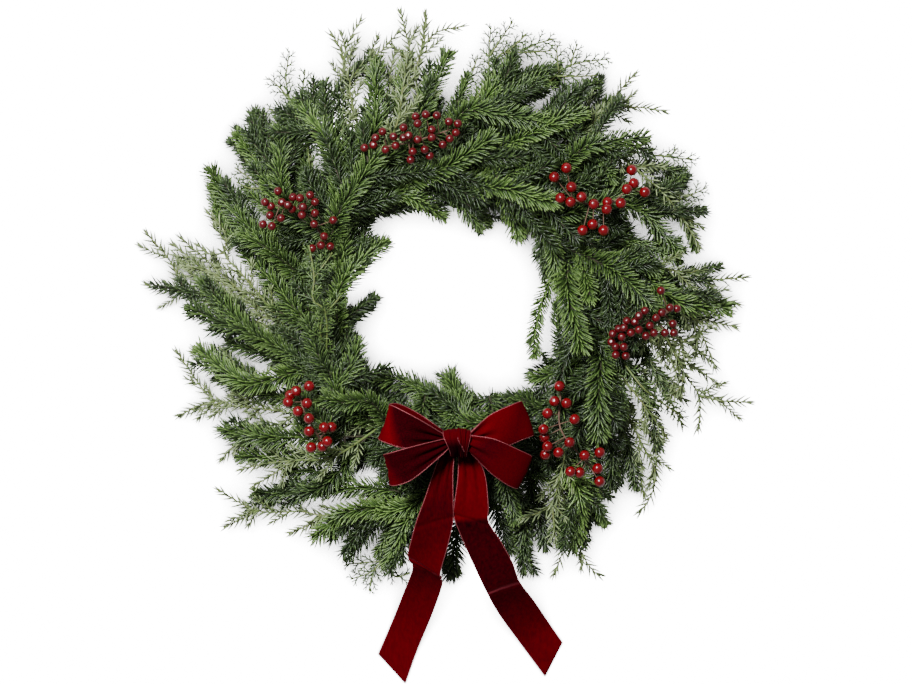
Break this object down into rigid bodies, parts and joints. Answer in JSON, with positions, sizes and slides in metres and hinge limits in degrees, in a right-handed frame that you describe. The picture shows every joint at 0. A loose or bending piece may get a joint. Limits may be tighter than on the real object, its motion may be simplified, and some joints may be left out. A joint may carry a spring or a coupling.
{
  "type": "evergreen wreath",
  "caption": "Round wreath of fir, juniper and cypress sprigs on a wire frame, with berry clusters and a wired velvet ribbon bow with long tails.",
  "frame": {"origin": "on the surface that the wreath lies on, under the middle of its bounding box", "axes": "+Z is the wreath's front and points up as it lies on its back, +Y is its top, opposite the bow, +X is its right as seen from the front"},
  "size_m": [0.6462, 0.7212, 0.1109],
  "materials": {
    "fir": "fresh needles, dark green, satin",
    "juniper": "fresh needles, yellow-green, satin",
    "cypress": "scale leaves, green, satin",
    "bright_berry": "smooth bright red skin, glossy",
    "dark_berry": "smooth dark red skin, satin",
    "velvet": "red velvet with a wired metallic edge",
    "green_wire": "green coated steel wire"
  },
  "bodies": {
    "root": {"berries_bright_lower_left": "bright_berry", "berries_bright_lower_right": "bright_berry", "berries_bright_upper_right": "bright_berry", "berries_dark_left": "dark_berry", "berries_dark_right": "dark_berry", "berries_dark_top": "dark_berry", "bow_knot": "velvet", "bow_loop_lower_left": "velvet", "bow_loop_lower_right": "velvet", "bow_loop_upper_left": "velvet", "bow_loop_upper_right": "velvet", "bow_tail_left": "velvet", "bow_tail_right": "velvet", "bow_tie_wire": "green_wire", "cypress_sprig_01": "cypress", "cypress_sprig_03": "cypress", "cypress_sprig_04": "cypress", "cypress_sprig_06": "cypress", "cypress_sprig_07": "cypress", "cypress_sprig_09": "cypress", "fir_branch_01_a": "fir", "fir_branch_02_a": "fir", "fir_branch_02_b": "fir", "fir_branch_03_a": "fir", "fir_branch_03_b": "fir", "fir_branch_03_c": "fir", "fir_branch_04_a": "fir", "fir_branch_04_b": "fir", "fir_branch_04_c": "fir", "fir_branch_05_a": "fir", "fir_branch_05_b": "fir", "fir_branch_06_a": "fir", "fir_branch_06_b": "fir", "fir_branch_06_c": "fir", "fir_branch_07_a": "fir", "fir_branch_07_b": "fir", "fir_branch_08_a": "fir", "fir_branch_08_b": "fir", "fir_branch_09_a": "fir", "fir_branch_09_b": "fir", "fir_branch_10_a": "fir", "fir_branch_10_b": "fir", "juniper_sprig_01": "juniper", "juniper_sprig_02": "juniper", "juniper_sprig_03": "juniper", "juniper_sprig_05": "juniper", "juniper_sprig_07": "juniper", "juniper_sprig_08": "juniper", "juniper_sprig_09": "juniper", "juniper_sprig_10": "juniper", "wire_frame": "green_wire"}
  },
  "joints": []
}
